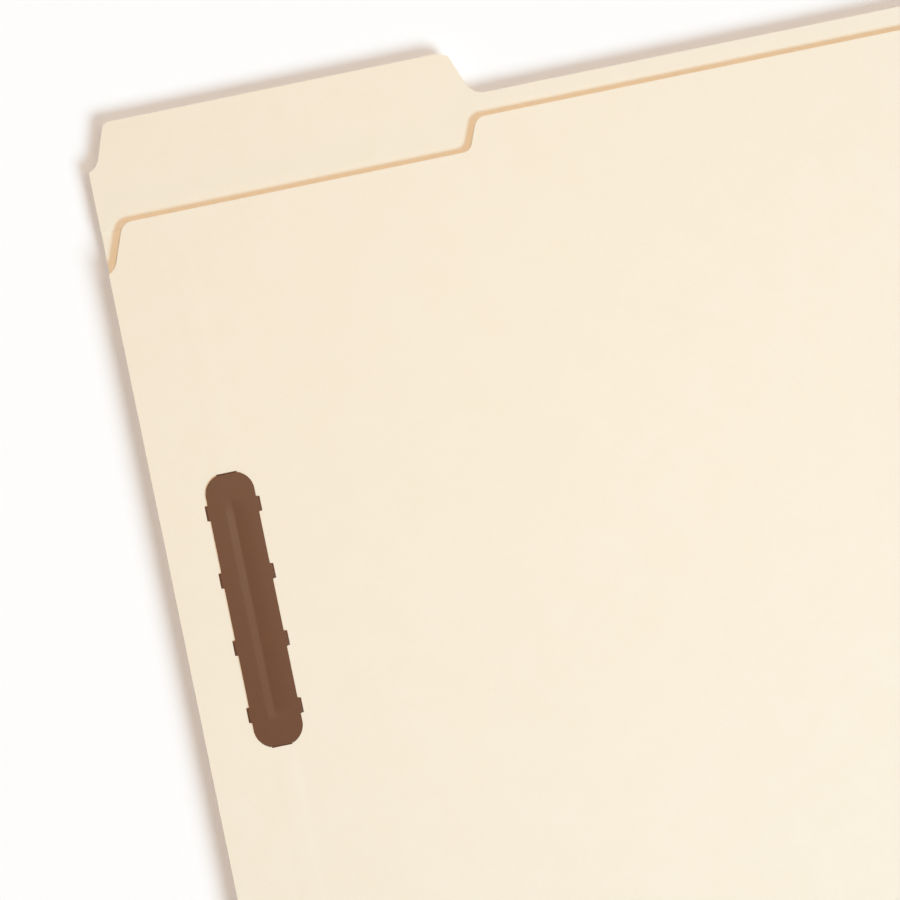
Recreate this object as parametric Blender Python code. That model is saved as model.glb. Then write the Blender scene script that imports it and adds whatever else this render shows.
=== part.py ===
"""Manila fastener folder with a reinforced tab and two prong fasteners, lying closed on its back.

The folder is one creased sheet of board: back panel, bottom fold, scored gusset and front panel.
Each panel carries a stamped fastener. Its plate lies on the outside, eight barbs grip the board,
and two prongs pass through the board and the compressor bar to lie flat on the inside.

Frame: X runs along the fold, Y from the fold to the tab, Z up. The origin is the middle of the
folder's footprint, on the surface that it lies on. Each fastener and its bar are modelled about
the fastener's middle, with Z = 0 on the board's inner face and +Z towards the papers.
"""

import math

import bmesh
import bpy
from mathutils import Matrix, Vector

MM = 0.001

# Folder board
FOLDER_WIDTH = 298.45 * MM
FOLDER_HEIGHT = 241.3 * MM
BOARD = 0.28 * MM
INNER_GAP = 2.6 * MM
FOLD_RADIUS = 0.32 * MM
PANEL_CORNER_RADIUS = 6.0 * MM

# Tab, measured from the sheet's left edge and down from the tab's top edge
TAB_HEIGHT = 11.9 * MM
TAB_LEFT_ROOT = 2.0 * MM
TAB_LEFT_TOP = 6.0 * MM
TAB_DROOP_START = 92.5 * MM
TAB_RIGHT_TOP = 94.95 * MM
TAB_RIGHT_ROOT = 99.0 * MM
TAB_DROOP = 1.14 * MM
TAB_ROOT_RADIUS = 4.7 * MM
TAB_LEFT_RADIUS = 2.3 * MM
TAB_DROOP_RADIUS = 9.0 * MM
TAB_CORNER_RADIUS = 0.6 * MM
REINFORCEMENT_HEIGHT = 27.5 * MM

# Front panel's top edge, which is cut lower where the tab shows
FRONT_DROP = 17.95 * MM
UNDERCUT_DEPTH = 8.05 * MM
NOTCH_DEPTH = 12.6 * MM
NOTCH_ROOT = 1.3 * MM
UNDERCUT_LEFT = 5.95 * MM
UNDERCUT_RIGHT = 95.5 * MM
FRONT_SHOULDER = 98.75 * MM
NOTCH_RADIUS = 4.8 * MM
UNDERCUT_LEFT_RADIUS = 3.5 * MM
UNDERCUT_RIGHT_RADIUS = 2.5 * MM
FRONT_SHOULDER_RADIUS = 3.2 * MM

# Scored gusset between the bottom fold and the front panel
GUSSET_WIDTH = 19.05 * MM
GUSSET_STRIPS = 3
SCORE_DEPTH = 0.08 * MM
SCORE_WIDTH = 0.7 * MM
GUSSET_EDGE_RADIUS = 0.2 * MM

# Fastener: plate, prongs and barbs stamped from one sheet
FASTENER_FROM_LEFT = 18.85 * MM
SHEET = 0.35 * MM
SHEET_BEND = 0.30 * MM
PLATE_WIDTH = 12.45 * MM
PLATE_END_RADIUS = 5.2 * MM
PLATE_EDGE_ROUND = 0.12 * MM
CHANNEL_FROM_END = 8.15 * MM
CHANNEL_WIDTH = 4.2 * MM
CHANNEL_END_RADIUS = 2.0 * MM
CHANNEL_FLANK = 1.9 * MM
CHANNEL_DEPTH = 0.16 * MM
PRONG_SPAN = 70.3 * MM
PRONG_WIDTH = 5.2 * MM
PRONG_RELIEF = 0.12 * MM
PRONG_ROOT = 4.0 * MM
PRONG_TO_SCORE = 0.45 * MM
PRONG_TO_PLY = 7.0 * MM
PRONG_TIP = 8.0 * MM
PRONG_SLOPE = 2.4 * MM
PRONG_SLOPE_RADIUS = 2.0 * MM
BARB_PAIRS = 4
BARB_FROM_BEND = 9.2 * MM
BARB_LENGTH = 4.0 * MM
BARB_TIP = 1.4 * MM
BARB_SHOULDER = 0.2 * MM
BARB_PROUD = 0.82 * MM
BARB_ROOT = 1.6 * MM
BARB_CLINCH = 1.85 * MM

# Compressor bar and the keepers that slide on it
BAR_SHEET = 0.30 * MM
BAR_OVERHANG = 7.85 * MM
BAR_BASE_WIDTH = 6.4 * MM
BAR_WEB_RUN = 0.3 * MM
BAR_FLANGE = 1.1 * MM
BAR_BEND = 0.2 * MM
BAR_CORNER_RADIUS = 2.4 * MM
SLIDE_SHEET = 0.30 * MM
SLIDE_LENGTH = 10.0 * MM
SLIDE_HOOK = 0.95 * MM
SLIDE_BEND = 0.25 * MM
SLIDE_FROM_MIDDLE = 12.0 * MM

# Clearances between faces that touch, round what passes through a slit, and at a crease
SEAT_GAP = 0.05 * MM
SLIT_GAP = 0.10 * MM
CREASE_GAP = 0.06 * MM
CUT_MARGIN = 1.0 * MM

ARC_STEPS = 8
BEND_STEPS = 4
TIP_STEPS = 6
TIP_TURN = math.radians(79.0)

# Heights of the board's faces above the surface that the folder lies on
BACK_OUTER = SHEET + SEAT_GAP
BACK_INNER = BACK_OUTER + BOARD
FRONT_INNER = BACK_INNER + INNER_GAP
FRONT_OUTER = FRONT_INNER + BOARD
FOLD_MIDDLE = (BACK_OUTER + FRONT_OUTER) / 2

# The opened-out prongs reach from just above the last score to just below the tab's second ply
LEFT = -FOLDER_WIDTH / 2
FOLD = -FOLDER_HEIGHT / 2
SCORE_LINE = FOLD + GUSSET_WIDTH
LOWER_PRONG_TIP = SCORE_LINE + PRONG_TO_SCORE
UPPER_PRONG_TIP = FOLD + FOLDER_HEIGHT - REINFORCEMENT_HEIGHT - PRONG_TO_PLY
PRONG_TIP_REACH = (UPPER_PRONG_TIP - LOWER_PRONG_TIP) / 2
FASTENER_X = LEFT + FASTENER_FROM_LEFT
FASTENER_Y = LOWER_PRONG_TIP + PRONG_TIP_REACH

# Heights of the fastener's sheets above the board's inner face, at mid-thickness
PLATE_LEVEL = -(BOARD + SEAT_GAP + SHEET / 2)
CLINCH_LEVEL = SEAT_GAP + SHEET / 2
BAR_LEVEL = SEAT_GAP + BAR_SHEET / 2
OVER_BAR_LEVEL = BAR_LEVEL + BAR_SHEET / 2 + SEAT_GAP + SHEET / 2
HOOK_LEVEL = SEAT_GAP + SLIDE_SHEET / 2
FLANGE_LEVEL = HOOK_LEVEL + SLIDE_SHEET / 2 + SEAT_GAP + BAR_SHEET / 2
KEEPER_LEVEL = FLANGE_LEVEL + BAR_SHEET / 2 + SEAT_GAP + SLIDE_SHEET / 2

# Lengths along the fastener, which follow the spacing of its prongs
PLATE_LENGTH = PRONG_SPAN
CHANNEL_LENGTH = PLATE_LENGTH - 2 * CHANNEL_FROM_END
BARB_REACH = PRONG_SPAN / 2 - BARB_FROM_BEND
BAR_LENGTH = PRONG_SPAN + 2 * BAR_OVERHANG

# Lines on which the sheet turns inwards, from the fastener's middle
PRONG_BEND = PRONG_SPAN / 2 - SHEET / 2
BARB_BEND = PLATE_WIDTH / 2 + BARB_PROUD - SHEET / 2
BAR_HALF_WIDTH = BAR_BASE_WIDTH / 2 + BAR_WEB_RUN + BAR_FLANGE

# Joint axes, all parallel to X
COVER_AXIS = Vector((0.0, FOLD - CREASE_GAP / 2, FOLD_MIDDLE))
GUSSET_AXIS = Vector((0.0, FOLD, FRONT_OUTER))
FRONT_AXIS = Vector((0.0, SCORE_LINE, FRONT_INNER))

# A section drawn as (Y, Z) and extruded along X, and one drawn as (X, Z) and run along Y
ALONG_FOLD = Matrix(((0, 0, 1, 0), (1, 0, 0, 0), (0, 1, 0, 0), (0, 0, 0, 1)))
SIDEWAYS = Matrix.Rotation(-math.pi / 2, 4, "Z")


def clear_scene():
    """Remove every object, so that the script can be run again in an open file."""
    for item in list(bpy.data.objects):
        bpy.data.objects.remove(item, do_unlink=True)


def make_finish(name, colour, roughness, metallic=0.0):
    """A Principled material from a linear colour."""
    material = bpy.data.materials.new(name)
    material.use_nodes = True
    shader = material.node_tree.nodes["Principled BSDF"]
    shader.inputs["Base Color"].default_value = (*colour, 1.0)
    shader.inputs["Roughness"].default_value = roughness
    shader.inputs["Metallic"].default_value = metallic
    return material


def rounded_path(corners, closed=True, steps=ARC_STEPS):
    """Points of a path whose corners, each (across, along, radius), are rounded by arcs."""
    points = []
    for index, (across, along, radius) in enumerate(corners):
        corner = Vector((across, along))
        if radius == 0.0 or (not closed and index in (0, len(corners) - 1)):
            points.append(corner)
            continue
        following = corners[(index + 1) % len(corners)]
        before = (Vector(corners[index - 1][:2]) - corner).normalized()
        after = (Vector(following[:2]) - corner).normalized()
        half_angle = before.angle(after) / 2
        centre = corner + (before + after).normalized() * radius / math.sin(half_angle)
        spoke = corner + before * radius / math.tan(half_angle) - centre
        turn = math.copysign(math.pi - 2 * half_angle, after.cross(before))
        for step in range(steps + 1):
            points.append(centre + Matrix.Rotation(turn * step / steps, 2) @ spoke)
    return points


def rounded_rectangle(half_width, half_length, radius):
    """Outline of a rectangle about the origin with rounded corners."""
    signs = ((-1, -1), (1, -1), (1, 1), (-1, 1))
    return rounded_path([(x * half_width, y * half_length, radius) for x, y in signs])


def trimmed(outline, left):
    """The outline with all that lies left of the sheet's edge cut off."""
    kept = []
    for point, following in zip(outline, outline[1:] + outline[:1]):
        if point.x >= left:
            kept.append(point)
        if (point.x - left) * (following.x - left) < 0:
            kept.append(point.lerp(following, (left - point.x) / (following.x - point.x)))
    return kept


def finished_mesh(name, model):
    """Turn a bmesh into a mesh with its faces pointing outwards."""
    bmesh.ops.recalc_face_normals(model, faces=model.faces)
    mesh = bpy.data.meshes.new(name)
    model.to_mesh(mesh)
    model.free()
    return mesh


def prism_model(low_outline, low, high, high_outline=None):
    """A closed solid between an outline at one height and the same or a like one at another."""
    model = bmesh.new()
    bottom = [model.verts.new((*point, low)) for point in low_outline]
    top = [model.verts.new((*point, high)) for point in high_outline or low_outline]
    model.faces.new(reversed(bottom))
    model.faces.new(top)
    for index in range(len(bottom)):
        following = (index + 1) % len(bottom)
        model.faces.new((bottom[index], bottom[following], top[following], top[index]))
    return model


def box_mesh(across, along, height):
    """A block between two values of each axis."""
    outline = [Vector((across[i], along[j])) for i, j in ((0, 0), (1, 0), (1, 1), (0, 1))]
    return finished_mesh("box", prism_model(outline, *height))


def bent_strip(name, path, thickness, half_widths):
    """A strip of sheet bent along a path in the YZ plane, as wide along X as each point says."""
    model = bmesh.new()
    rings = []
    for index, point in enumerate(path):
        arriving = (point - path[index - 1]).normalized() if index else Vector((0, 0))
        leaving = (path[index + 1] - point).normalized() if index + 1 < len(path) else arriving
        run = (arriving + leaving).normalized()
        offset = Vector((-run.y, run.x)) * (thickness / 2 / run.dot(leaving))
        half = half_widths[index]
        corners = ((-half, offset), (half, offset), (half, -offset), (-half, -offset))
        rings.append([model.verts.new((x, *(point + shift))) for x, shift in corners])
    for ring, following in zip(rings, rings[1:]):
        for side in range(4):
            neighbour = (side + 1) % 4
            model.faces.new((ring[side], ring[neighbour], following[neighbour], following[side]))
    model.faces.new(rings[0])
    model.faces.new(rings[-1])
    return finished_mesh(name, model)


def repeated(mesh, places):
    """One mesh that holds the given one at each place, as separate shells."""
    model = bmesh.new()
    for place in places:
        copy = mesh.copy()
        copy.transform(place)
        model.from_mesh(copy)
    return finished_mesh(mesh.name, model)


def combined(base, tool, operation):
    """The exact Boolean of two meshes, as a new mesh."""
    body = bpy.data.objects.new("body", base)
    partner = bpy.data.objects.new("partner", tool)
    for item in (body, partner):
        bpy.context.scene.collection.objects.link(item)
    modifier = body.modifiers.new(operation.title(), "BOOLEAN")
    modifier.operation = operation
    modifier.object = partner
    depsgraph = bpy.context.evaluated_depsgraph_get()
    result = bpy.data.meshes.new_from_object(body.evaluated_get(depsgraph))
    for item in (body, partner):
        bpy.data.objects.remove(item)
    return result


def place_node(name, mesh, material, place, hinge=None, turned_over=False):
    """Make the node of a mesh that is modelled about its own origin, under its hinge if it has one."""
    node = bpy.data.objects.new(name, mesh)
    bpy.context.scene.collection.objects.link(node)
    node.data.materials.clear()
    node.data.materials.append(material)
    node.parent = hinge
    node.location = place - (hinge.matrix_world.translation if hinge else Vector())
    if turned_over:
        node.rotation_euler.y = math.pi
    return node


def place_board(name, mesh, material, hinge=None):
    """Make the node of a board mesh drawn in the folder's frame, with its origin on its hinge."""
    origin = hinge.matrix_world.translation if hinge else Vector()
    mesh.transform(Matrix.Translation(-origin))
    return place_node(name, mesh, material, origin, hinge)


def add_hinge(name, place, parent=None):
    """An empty on a crease, which carries everything that turns about it."""
    hinge = bpy.data.objects.new(name, None)
    bpy.context.scene.collection.objects.link(hinge)
    hinge.parent = parent
    hinge.location = place - (parent.matrix_world.translation if parent else Vector())
    bpy.context.view_layer.update()
    return hinge


def sheet_outline(corners):
    """Outline of a panel from corners given from the sheet's left edge and up from the fold."""
    placed = [(LEFT + across, FOLD + up, radius) for across, up, radius in corners]
    return trimmed(rounded_path(placed), LEFT)


def back_outline(bottom):
    """The back panel's outline above a height, with the tab at its left."""
    shoulder = FOLDER_HEIGHT - TAB_HEIGHT
    beyond_left = -2 * TAB_ROOT_RADIUS
    return sheet_outline(
        [
            (beyond_left, bottom, 0.0),
            (FOLDER_WIDTH, bottom, 0.0),
            (FOLDER_WIDTH, shoulder, PANEL_CORNER_RADIUS),
            (TAB_RIGHT_ROOT, shoulder, TAB_ROOT_RADIUS),
            (TAB_RIGHT_TOP, FOLDER_HEIGHT - TAB_DROOP, TAB_CORNER_RADIUS),
            (TAB_DROOP_START, FOLDER_HEIGHT, TAB_DROOP_RADIUS),
            (TAB_LEFT_TOP, FOLDER_HEIGHT, TAB_LEFT_RADIUS),
            (TAB_LEFT_ROOT, shoulder, TAB_ROOT_RADIUS),
            (beyond_left, shoulder, 0.0),
        ]
    )


def front_outline():
    """The front panel's outline, cut lower at the left so that the tab shows."""
    top = FOLDER_HEIGHT - FRONT_DROP
    undercut = top - UNDERCUT_DEPTH
    notch = undercut - NOTCH_DEPTH
    bottom = GUSSET_WIDTH + CREASE_GAP / 2
    beyond_left = -2 * NOTCH_RADIUS
    return sheet_outline(
        [
            (beyond_left, bottom, 0.0),
            (FOLDER_WIDTH, bottom, 0.0),
            (FOLDER_WIDTH, top, PANEL_CORNER_RADIUS),
            (FRONT_SHOULDER, top, FRONT_SHOULDER_RADIUS),
            (UNDERCUT_RIGHT, undercut, UNDERCUT_RIGHT_RADIUS),
            (UNDERCUT_LEFT, undercut, UNDERCUT_LEFT_RADIUS),
            (NOTCH_ROOT, notch, NOTCH_RADIUS),
            (beyond_left, notch, 0.0),
        ]
    )


def barb_places():
    """Turns and shifts that put the right upper barb at each of the fastener's barbs."""
    pitch = 2 * BARB_REACH / (BARB_PAIRS - 1)
    places = []
    for side in (0.0, math.pi):
        for pair in range(BARB_PAIRS):
            shift = Matrix.Translation((0.0, pair * pitch - BARB_REACH, 0.0))
            places.append(Matrix.Rotation(side, 4, "Z") @ shift)
    return places


def prong_places():
    """Turns that put the upper prong at each end of the fastener."""
    return [Matrix.Rotation(side, 4, "Z") for side in (0.0, math.pi)]


def slit_cutter():
    """Blocks that cut one board for the fastener's eight barbs and two prongs."""
    reach = BOARD + CUT_MARGIN
    room = SHEET / 2 + SLIT_GAP
    barb_half = BARB_LENGTH / 2 + SLIT_GAP
    prong_half = PRONG_WIDTH / 2 + SLIT_GAP
    through = (-reach, reach)
    barb_slit = box_mesh((BARB_BEND - room, BARB_BEND + room), (-barb_half, barb_half), through)
    prong_slit = box_mesh((-prong_half, prong_half), (PRONG_BEND - room, PRONG_BEND + room), through)
    model = bmesh.new()
    model.from_mesh(repeated(barb_slit, barb_places()))
    model.from_mesh(repeated(prong_slit, prong_places()))
    return finished_mesh("slits", model)


def slit_board(board, inner_face):
    """Cut a panel for its fastener, whose middle lies at the given inner face."""
    cutter = slit_cutter()
    cutter.transform(Matrix.Translation((FASTENER_X, FASTENER_Y, inner_face)))
    return combined(board, cutter, "DIFFERENCE")


def back_panel_mesh():
    """Back panel with its slits, its lower edge turned up into the lower half of the fold."""
    bend_start = BOARD / 2 + FOLD_RADIUS
    model = prism_model(back_outline(bend_start), BACK_OUTER, BACK_INNER)
    model.normal_update()
    lower_edge = min(model.faces, key=lambda face: face.calc_center_median().y)
    bend_centre = (0.0, FOLD + bend_start, (BACK_OUTER + BACK_INNER) / 2 + FOLD_RADIUS)
    bend = bmesh.ops.spin(
        model,
        geom=[lower_edge],
        cent=bend_centre,
        axis=(1, 0, 0),
        angle=-math.pi / 2,
        steps=BEND_STEPS,
        use_normal_flip=False,
    )
    turned = [item for item in bend["geom_last"] if isinstance(item, bmesh.types.BMFace)]
    lifted = bmesh.ops.extrude_face_region(model, geom=turned)
    lip_top = [item for item in lifted["geom"] if isinstance(item, bmesh.types.BMVert)]
    for vertex in lip_top:
        vertex.co.z = FOLD_MIDDLE - CREASE_GAP / 2
    left_inside = [face for face in model.faces if all(len(edge.link_faces) > 2 for edge in face.edges)]
    bmesh.ops.delete(model, geom=left_inside, context="FACES_ONLY")
    return slit_board(finished_mesh("back_panel", model), BACK_INNER)


def front_panel_mesh():
    """Front panel above the last score, with the slits of its fastener."""
    board = finished_mesh("front_panel", prism_model(front_outline(), FRONT_INNER, FRONT_OUTER))
    return slit_board(board, FRONT_INNER)


def tab_reinforcement_mesh():
    """Second ply glued on the inner face of the tab and of the edge below it."""
    lower = BACK_INNER + SEAT_GAP
    outline = back_outline(FOLDER_HEIGHT - REINFORCEMENT_HEIGHT)
    return finished_mesh("tab_reinforcement", prism_model(outline, lower, lower + BOARD))


def bottom_fold_mesh():
    """Upper half of the bottom fold, between the crease and the gusset."""
    across = (LEFT, LEFT + FOLDER_WIDTH)
    height = (FOLD_MIDDLE + CREASE_GAP / 2, FRONT_INNER - SEAT_GAP)
    return box_mesh(across, (FOLD, FOLD + BOARD), height)


def gusset_mesh():
    """Scored strip between the bottom fold and the front, with a groove at each middle score."""
    corners = [
        (FOLD, FRONT_INNER, 0.0),
        (SCORE_LINE - CREASE_GAP / 2, FRONT_INNER, 0.0),
        (SCORE_LINE - CREASE_GAP / 2, FRONT_OUTER, 0.0),
    ]
    for strip in reversed(range(1, GUSSET_STRIPS)):
        score = FOLD + GUSSET_WIDTH * strip / GUSSET_STRIPS
        corners.append((score + SCORE_WIDTH / 2, FRONT_OUTER, 0.0))
        corners.append((score, FRONT_OUTER - SCORE_DEPTH, 0.0))
        corners.append((score - SCORE_WIDTH / 2, FRONT_OUTER, 0.0))
    corners.append((FOLD, FRONT_OUTER, GUSSET_EDGE_RADIUS))
    section = rounded_path(corners, steps=BEND_STEPS)
    mesh = finished_mesh("expansion_gusset", prism_model(section, LEFT, LEFT + FOLDER_WIDTH))
    mesh.transform(ALONG_FOLD)
    return mesh


def plate_mesh():
    """Fastener's outer plate with a rounded rim, a pressed channel and ends cut back for the prongs."""
    outer = PLATE_LEVEL - SHEET / 2
    inner = PLATE_LEVEL + SHEET / 2
    outline = rounded_rectangle(PLATE_WIDTH / 2, PLATE_LENGTH / 2, PLATE_END_RADIUS)
    model = prism_model(outline, outer, inner)
    outer_face = min(model.faces, key=lambda face: face.calc_center_median().z)
    bmesh.ops.bevel(
        model,
        geom=list(outer_face.edges),
        offset=PLATE_EDGE_ROUND,
        segments=2,
        profile=0.5,
        affect="EDGES",
    )
    plate = finished_mesh("plate", model)
    mouth, floor = (
        rounded_rectangle(
            CHANNEL_WIDTH / 2 + grow, CHANNEL_LENGTH / 2 + grow, CHANNEL_END_RADIUS + grow
        )
        for grow in (CHANNEL_FLANK, -CHANNEL_FLANK)
    )
    channel = prism_model(mouth, outer - CHANNEL_DEPTH, outer + CHANNEL_DEPTH, floor)
    plate = combined(plate, finished_mesh("channel", channel), "DIFFERENCE")
    half_cut = PRONG_WIDTH / 2 + PRONG_RELIEF
    cut_length = (PRONG_BEND - SHEET_BEND, PLATE_LENGTH / 2 + CUT_MARGIN)
    cut = box_mesh((-half_cut, half_cut), cut_length, (outer - CUT_MARGIN, inner + CUT_MARGIN))
    return combined(plate, repeated(cut, prong_places()), "DIFFERENCE")


def prong_mesh():
    """Upper prong: out of the plate's end, through board and bar, over the bar and down to the board."""
    half_bar = BAR_LENGTH / 2
    path = rounded_path(
        [
            (PRONG_BEND - PRONG_ROOT, PLATE_LEVEL, 0.0),
            (PRONG_BEND, PLATE_LEVEL, SHEET_BEND),
            (PRONG_BEND, OVER_BAR_LEVEL, SHEET_BEND),
            (half_bar + SLIT_GAP, OVER_BAR_LEVEL, PRONG_SLOPE_RADIUS),
            (half_bar + SLIT_GAP + PRONG_SLOPE, CLINCH_LEVEL, PRONG_SLOPE_RADIUS),
            (PRONG_TIP_REACH - PRONG_TIP, CLINCH_LEVEL, 0.0),
        ],
        closed=False,
        steps=BEND_STEPS,
    )
    half_widths = [PRONG_WIDTH / 2] * len(path)
    for step in range(1, TIP_STEPS + 1):
        share = step / TIP_STEPS
        path.append(Vector((PRONG_TIP_REACH - PRONG_TIP * (1 - share), CLINCH_LEVEL)))
        half_widths.append(PRONG_WIDTH / 2 * math.cos(share * TIP_TURN))
    return bent_strip("prong", path, SHEET, half_widths)


def barb_mesh():
    """Barb at the plate's right edge: through the board and clinched back on its inner face."""
    path = rounded_path(
        [
            (BARB_BEND - BARB_ROOT, PLATE_LEVEL, 0.0),
            (BARB_BEND, PLATE_LEVEL, SHEET_BEND),
            (BARB_BEND, CLINCH_LEVEL, SHEET_BEND),
            (BARB_BEND + SHEET / 2 - BARB_CLINCH, CLINCH_LEVEL, 0.0),
        ],
        closed=False,
        steps=BEND_STEPS,
    )
    half_widths = [BARB_LENGTH / 2 - BARB_SHOULDER] * len(path)
    half_widths[0] = half_widths[1] = BARB_LENGTH / 2
    half_widths[-1] = BARB_TIP / 2
    barb = bent_strip("barb", path, SHEET, half_widths)
    barb.transform(SIDEWAYS)
    return barb


def fastener_mesh():
    """The one-piece fastener: plate, eight barbs and two prongs."""
    model = bmesh.new()
    model.from_mesh(repeated(barb_mesh(), barb_places()))
    model.from_mesh(repeated(prong_mesh(), prong_places()))
    return combined(plate_mesh(), finished_mesh("barbs_and_prongs", model), "UNION")


def compressor_mesh():
    """Bar with raised flanges, rounded ends and a hole for each prong."""
    half_base = BAR_BASE_WIDTH / 2
    section = rounded_path(
        [
            (-BAR_HALF_WIDTH, FLANGE_LEVEL, 0.0),
            (-half_base - BAR_WEB_RUN, FLANGE_LEVEL, BAR_BEND),
            (-half_base, BAR_LEVEL, BAR_BEND),
            (half_base, BAR_LEVEL, BAR_BEND),
            (half_base + BAR_WEB_RUN, FLANGE_LEVEL, BAR_BEND),
            (BAR_HALF_WIDTH, FLANGE_LEVEL, 0.0),
        ],
        closed=False,
        steps=BEND_STEPS,
    )
    half_length = BAR_LENGTH / 2
    bar = bent_strip("bar", section, BAR_SHEET, [half_length + CUT_MARGIN] * len(section))
    bar.transform(SIDEWAYS)
    ends = rounded_rectangle(BAR_HALF_WIDTH + SEAT_GAP, half_length, BAR_CORNER_RADIUS)
    bar = combined(bar, finished_mesh("ends", prism_model(ends, -BAR_LENGTH, BAR_LENGTH)), "INTERSECT")
    half_hole = PRONG_WIDTH / 2 + SLIT_GAP
    hole_length = (PRONG_BEND - SHEET / 2 - SLIT_GAP, PRONG_BEND + SHEET_BEND + SLIT_GAP)
    hole = box_mesh((-half_hole, half_hole), hole_length, (-CUT_MARGIN, CUT_MARGIN))
    return combined(bar, repeated(hole, prong_places()), "DIFFERENCE")


def slide_mesh():
    """Keeper: a clip over the bar whose hooks reach under the bar's flanges."""
    side = BAR_HALF_WIDTH + SEAT_GAP + SLIDE_SHEET / 2
    section = rounded_path(
        [
            (side - SLIDE_HOOK, HOOK_LEVEL, 0.0),
            (side, HOOK_LEVEL, SLIDE_BEND),
            (side, KEEPER_LEVEL, SLIDE_BEND),
            (-side, KEEPER_LEVEL, SLIDE_BEND),
            (-side, HOOK_LEVEL, SLIDE_BEND),
            (SLIDE_HOOK - side, HOOK_LEVEL, 0.0),
        ],
        closed=False,
        steps=BEND_STEPS,
    )
    slide = bent_strip("slide", section, SLIDE_SHEET, [SLIDE_LENGTH / 2] * len(section))
    slide.transform(SIDEWAYS)
    return slide


def add_fastener(side, inner_face, metal, hinge=None, turned_over=False):
    """Fastener, compressor bar and two keepers of one panel."""
    middle = Vector((FASTENER_X, FASTENER_Y, inner_face))
    rise = Vector((0.0, SLIDE_FROM_MIDDLE, 0.0))
    pieces = (
        ("fastener", fastener_mesh(), middle),
        ("compressor", compressor_mesh(), middle),
        ("upper_slide", slide_mesh(), middle + rise),
        ("lower_slide", slide_mesh(), middle - rise),
    )
    for piece, mesh, place in pieces:
        place_node(f"{side}_{piece}", mesh, metal, place, hinge, turned_over)


def main():
    """Build the folder from its back panel to its front fastener."""
    clear_scene()
    board = make_finish("manila_board", (0.90, 0.81, 0.64), 0.75)
    metal = make_finish("brown_coated_steel", (0.18, 0.09, 0.05), 0.45, metallic=0.3)
    cover_hinge = add_hinge("cover_hinge", COVER_AXIS)
    gusset_hinge = add_hinge("gusset_hinge", GUSSET_AXIS, cover_hinge)
    front_hinge = add_hinge("front_hinge", FRONT_AXIS, gusset_hinge)
    place_board("back_panel", back_panel_mesh(), board)
    place_board("tab_reinforcement", tab_reinforcement_mesh(), board)
    place_board("bottom_fold", bottom_fold_mesh(), board, cover_hinge)
    place_board("expansion_gusset", gusset_mesh(), board, gusset_hinge)
    place_board("front_panel", front_panel_mesh(), board, front_hinge)
    add_fastener("back", BACK_INNER, metal)
    add_fastener("front", FRONT_INNER, metal, front_hinge, turned_over=True)


main()
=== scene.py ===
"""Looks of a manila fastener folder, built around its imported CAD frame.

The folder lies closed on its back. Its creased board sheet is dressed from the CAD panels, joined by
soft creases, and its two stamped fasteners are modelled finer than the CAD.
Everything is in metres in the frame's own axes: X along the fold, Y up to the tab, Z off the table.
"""

import logging
import math
from collections.abc import Callable, Iterator
from contextlib import contextmanager
from dataclasses import dataclass
from enum import Enum

import bmesh
import bpy
from mathutils import Matrix, Vector

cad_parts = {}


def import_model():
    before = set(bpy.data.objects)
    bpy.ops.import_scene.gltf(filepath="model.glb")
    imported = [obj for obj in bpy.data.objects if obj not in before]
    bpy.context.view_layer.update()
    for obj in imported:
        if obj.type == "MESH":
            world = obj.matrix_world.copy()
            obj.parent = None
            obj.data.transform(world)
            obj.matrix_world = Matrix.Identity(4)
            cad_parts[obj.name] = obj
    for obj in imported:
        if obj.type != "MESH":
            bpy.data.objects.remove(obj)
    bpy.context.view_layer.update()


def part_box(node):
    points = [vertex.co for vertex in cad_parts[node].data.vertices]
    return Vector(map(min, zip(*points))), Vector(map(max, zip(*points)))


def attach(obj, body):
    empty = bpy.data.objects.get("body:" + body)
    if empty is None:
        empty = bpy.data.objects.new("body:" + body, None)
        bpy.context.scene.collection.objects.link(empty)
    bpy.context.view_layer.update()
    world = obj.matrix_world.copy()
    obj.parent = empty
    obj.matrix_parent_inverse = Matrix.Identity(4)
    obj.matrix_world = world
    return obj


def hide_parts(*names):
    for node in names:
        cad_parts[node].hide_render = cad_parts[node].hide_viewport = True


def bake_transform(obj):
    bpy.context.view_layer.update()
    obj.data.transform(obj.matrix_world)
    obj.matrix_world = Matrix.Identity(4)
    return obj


MM = 0.001
QUARTER = math.pi / 2
CUT_THRESHOLD = 1e-7
MERGE_THRESHOLD = 1e-6
FLAT_ANGLE = math.radians(0.5)
SMOOTH_ANGLE = math.radians(40)
SHARP_ANGLE = math.radians(50)
ALONG_X = Vector((1, 0, 0))
ALONG_Y = Vector((0, 1, 0))
ALONG_Z = Vector((0, 0, 1))

# A face looks along an axis if its unit normal reaches this far along it
FACING = 0.9

# Sockets of Blender's Mix node when it mixes colours
MIX_A = 6
MIX_B = 7
MIX_RESULT = 2

log = logging.getLogger("fastener_folder")


class Element(Enum):
    """What an edit-mode selection is made of."""

    VERTEX = "VERT"
    FACE = "FACE"


class Side(Enum):
    """The two panels, each of which carries a fastener."""

    BACK = "back"
    FRONT = "front"

    @property
    def panel(self) -> str:
        """Name of this side's panel, as a CAD node and as a body."""
        return f"{self.value}_panel"

    @property
    def turned_over(self) -> bool:
        """Whether the fastener faces down, as the front panel's does."""
        return self is Side.FRONT


class Keeper(Enum):
    """The two keepers that slide on a compressor bar."""

    UPPER = "upper"
    LOWER = "lower"

    def node(self, side: Side) -> str:
        """Name of this keeper's CAD node on one side."""
        return f"{side.value}_{self.value}_slide"


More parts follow.
